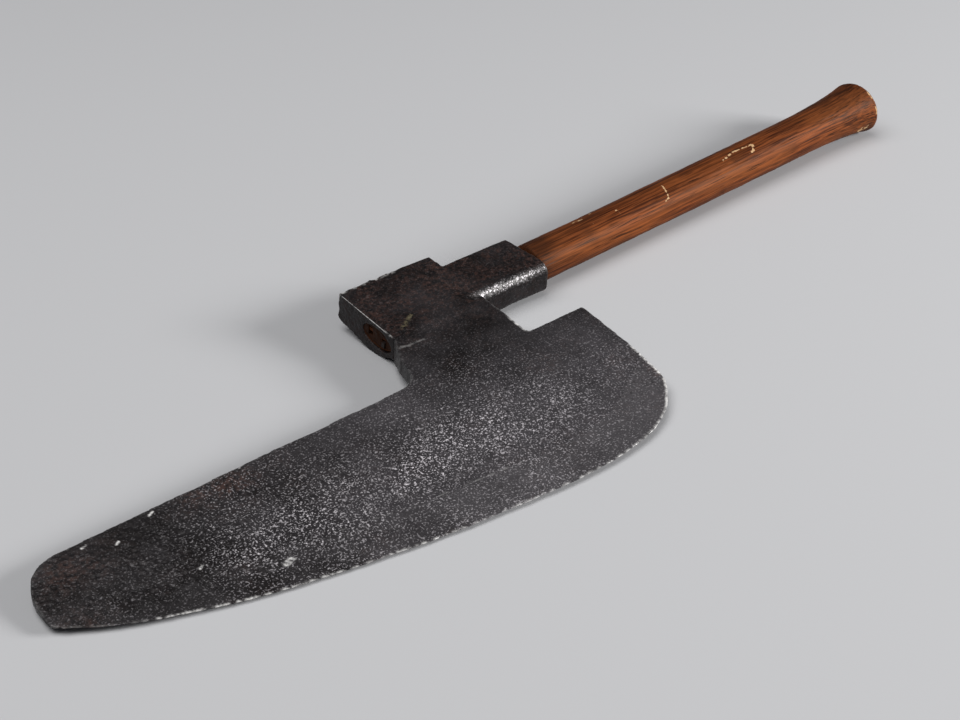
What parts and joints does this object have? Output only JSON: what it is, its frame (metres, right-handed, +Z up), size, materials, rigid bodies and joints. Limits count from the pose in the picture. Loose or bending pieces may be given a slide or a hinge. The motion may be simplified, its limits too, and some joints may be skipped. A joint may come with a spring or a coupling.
{
  "type": "side axe",
  "caption": "Single-bevel side axe of the goosewing type: long flat-faced blade, socketed head and an oval wooden haft with a flared butt.",
  "frame": {"origin": "middle of the footprint, on the surface that the axe lies on", "axes": "+X along the head from the toe of the blade towards the butt of the haft; +Y from the cutting edge towards the back of the poll; +Z up, the hewing face on top, as the axe lies on a bench. The hewing face leans 6.35 degrees down towards the cutting edge and rises 1.24 degrees towards +X"},
  "size_m": [0.9176, 0.273, 0.0478],
  "materials": {
    "blade_iron": "forged iron, dark and densely pitted",
    "edge_steel": "dark worn steel, finely pitted",
    "socket_iron": "forged iron with brown rust bloom",
    "haft_wood": "red-brown varnished open-grained hardwood, worn",
    "wedge_wood": "dry end grain",
    "wedge_iron": "grey iron"
  },
  "bodies": {
    "root": {"blade": "blade_iron", "edge_steel": "edge_steel", "eye_socket": "socket_iron", "haft": "haft_wood", "kerf_wedge": "wedge_wood", "iron_wedge": "wedge_iron"}
  },
  "joints": []
}
